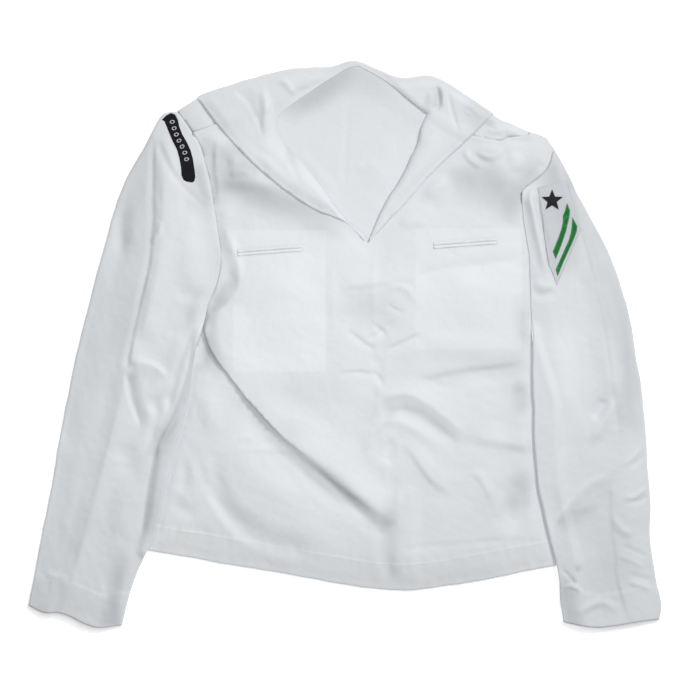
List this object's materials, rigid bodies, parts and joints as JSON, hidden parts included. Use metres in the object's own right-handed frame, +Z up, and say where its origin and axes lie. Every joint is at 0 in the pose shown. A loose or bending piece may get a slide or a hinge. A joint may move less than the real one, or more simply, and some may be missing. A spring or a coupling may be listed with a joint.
{
  "type": "middy shirt",
  "caption": "White sailor jumper laid flat on its back, with a V neck, square sailor collar, long sleeves, slanted chest pockets and a striped sleeve badge.",
  "frame": {"origin": "on the surface that the shirt lies on, under the middle of its outline", "axes": "+X towards the sleeve on the picture's right, +Y towards the neck, +Z up out of the front"},
  "size_m": [0.7893, 0.707, 0.0102],
  "materials": {
    "white_twill": "white cotton twill, pressed and worn soft",
    "white_patch": "white cotton ground of the sleeve badge",
    "black_tape": "black woven tape",
    "green_felt": "green felt stripes, overstitched",
    "black_thread": "black embroidery thread"
  },
  "bodies": {
    "root": {"back_panel": "white_twill", "front_panel": "white_twill", "collar": "white_twill", "sleeve_left": "white_twill", "sleeve_right": "white_twill", "pocket_left_upper_welt": "white_twill", "pocket_left_lower_welt": "white_twill", "pocket_right_upper_welt": "white_twill", "pocket_right_lower_welt": "white_twill", "shoulder_tape": "black_tape", "sleeve_patch": "white_patch", "stripe_upper": "green_felt", "stripe_lower": "green_felt", "sleeve_motif": "black_thread"}
  },
  "joints": []
}
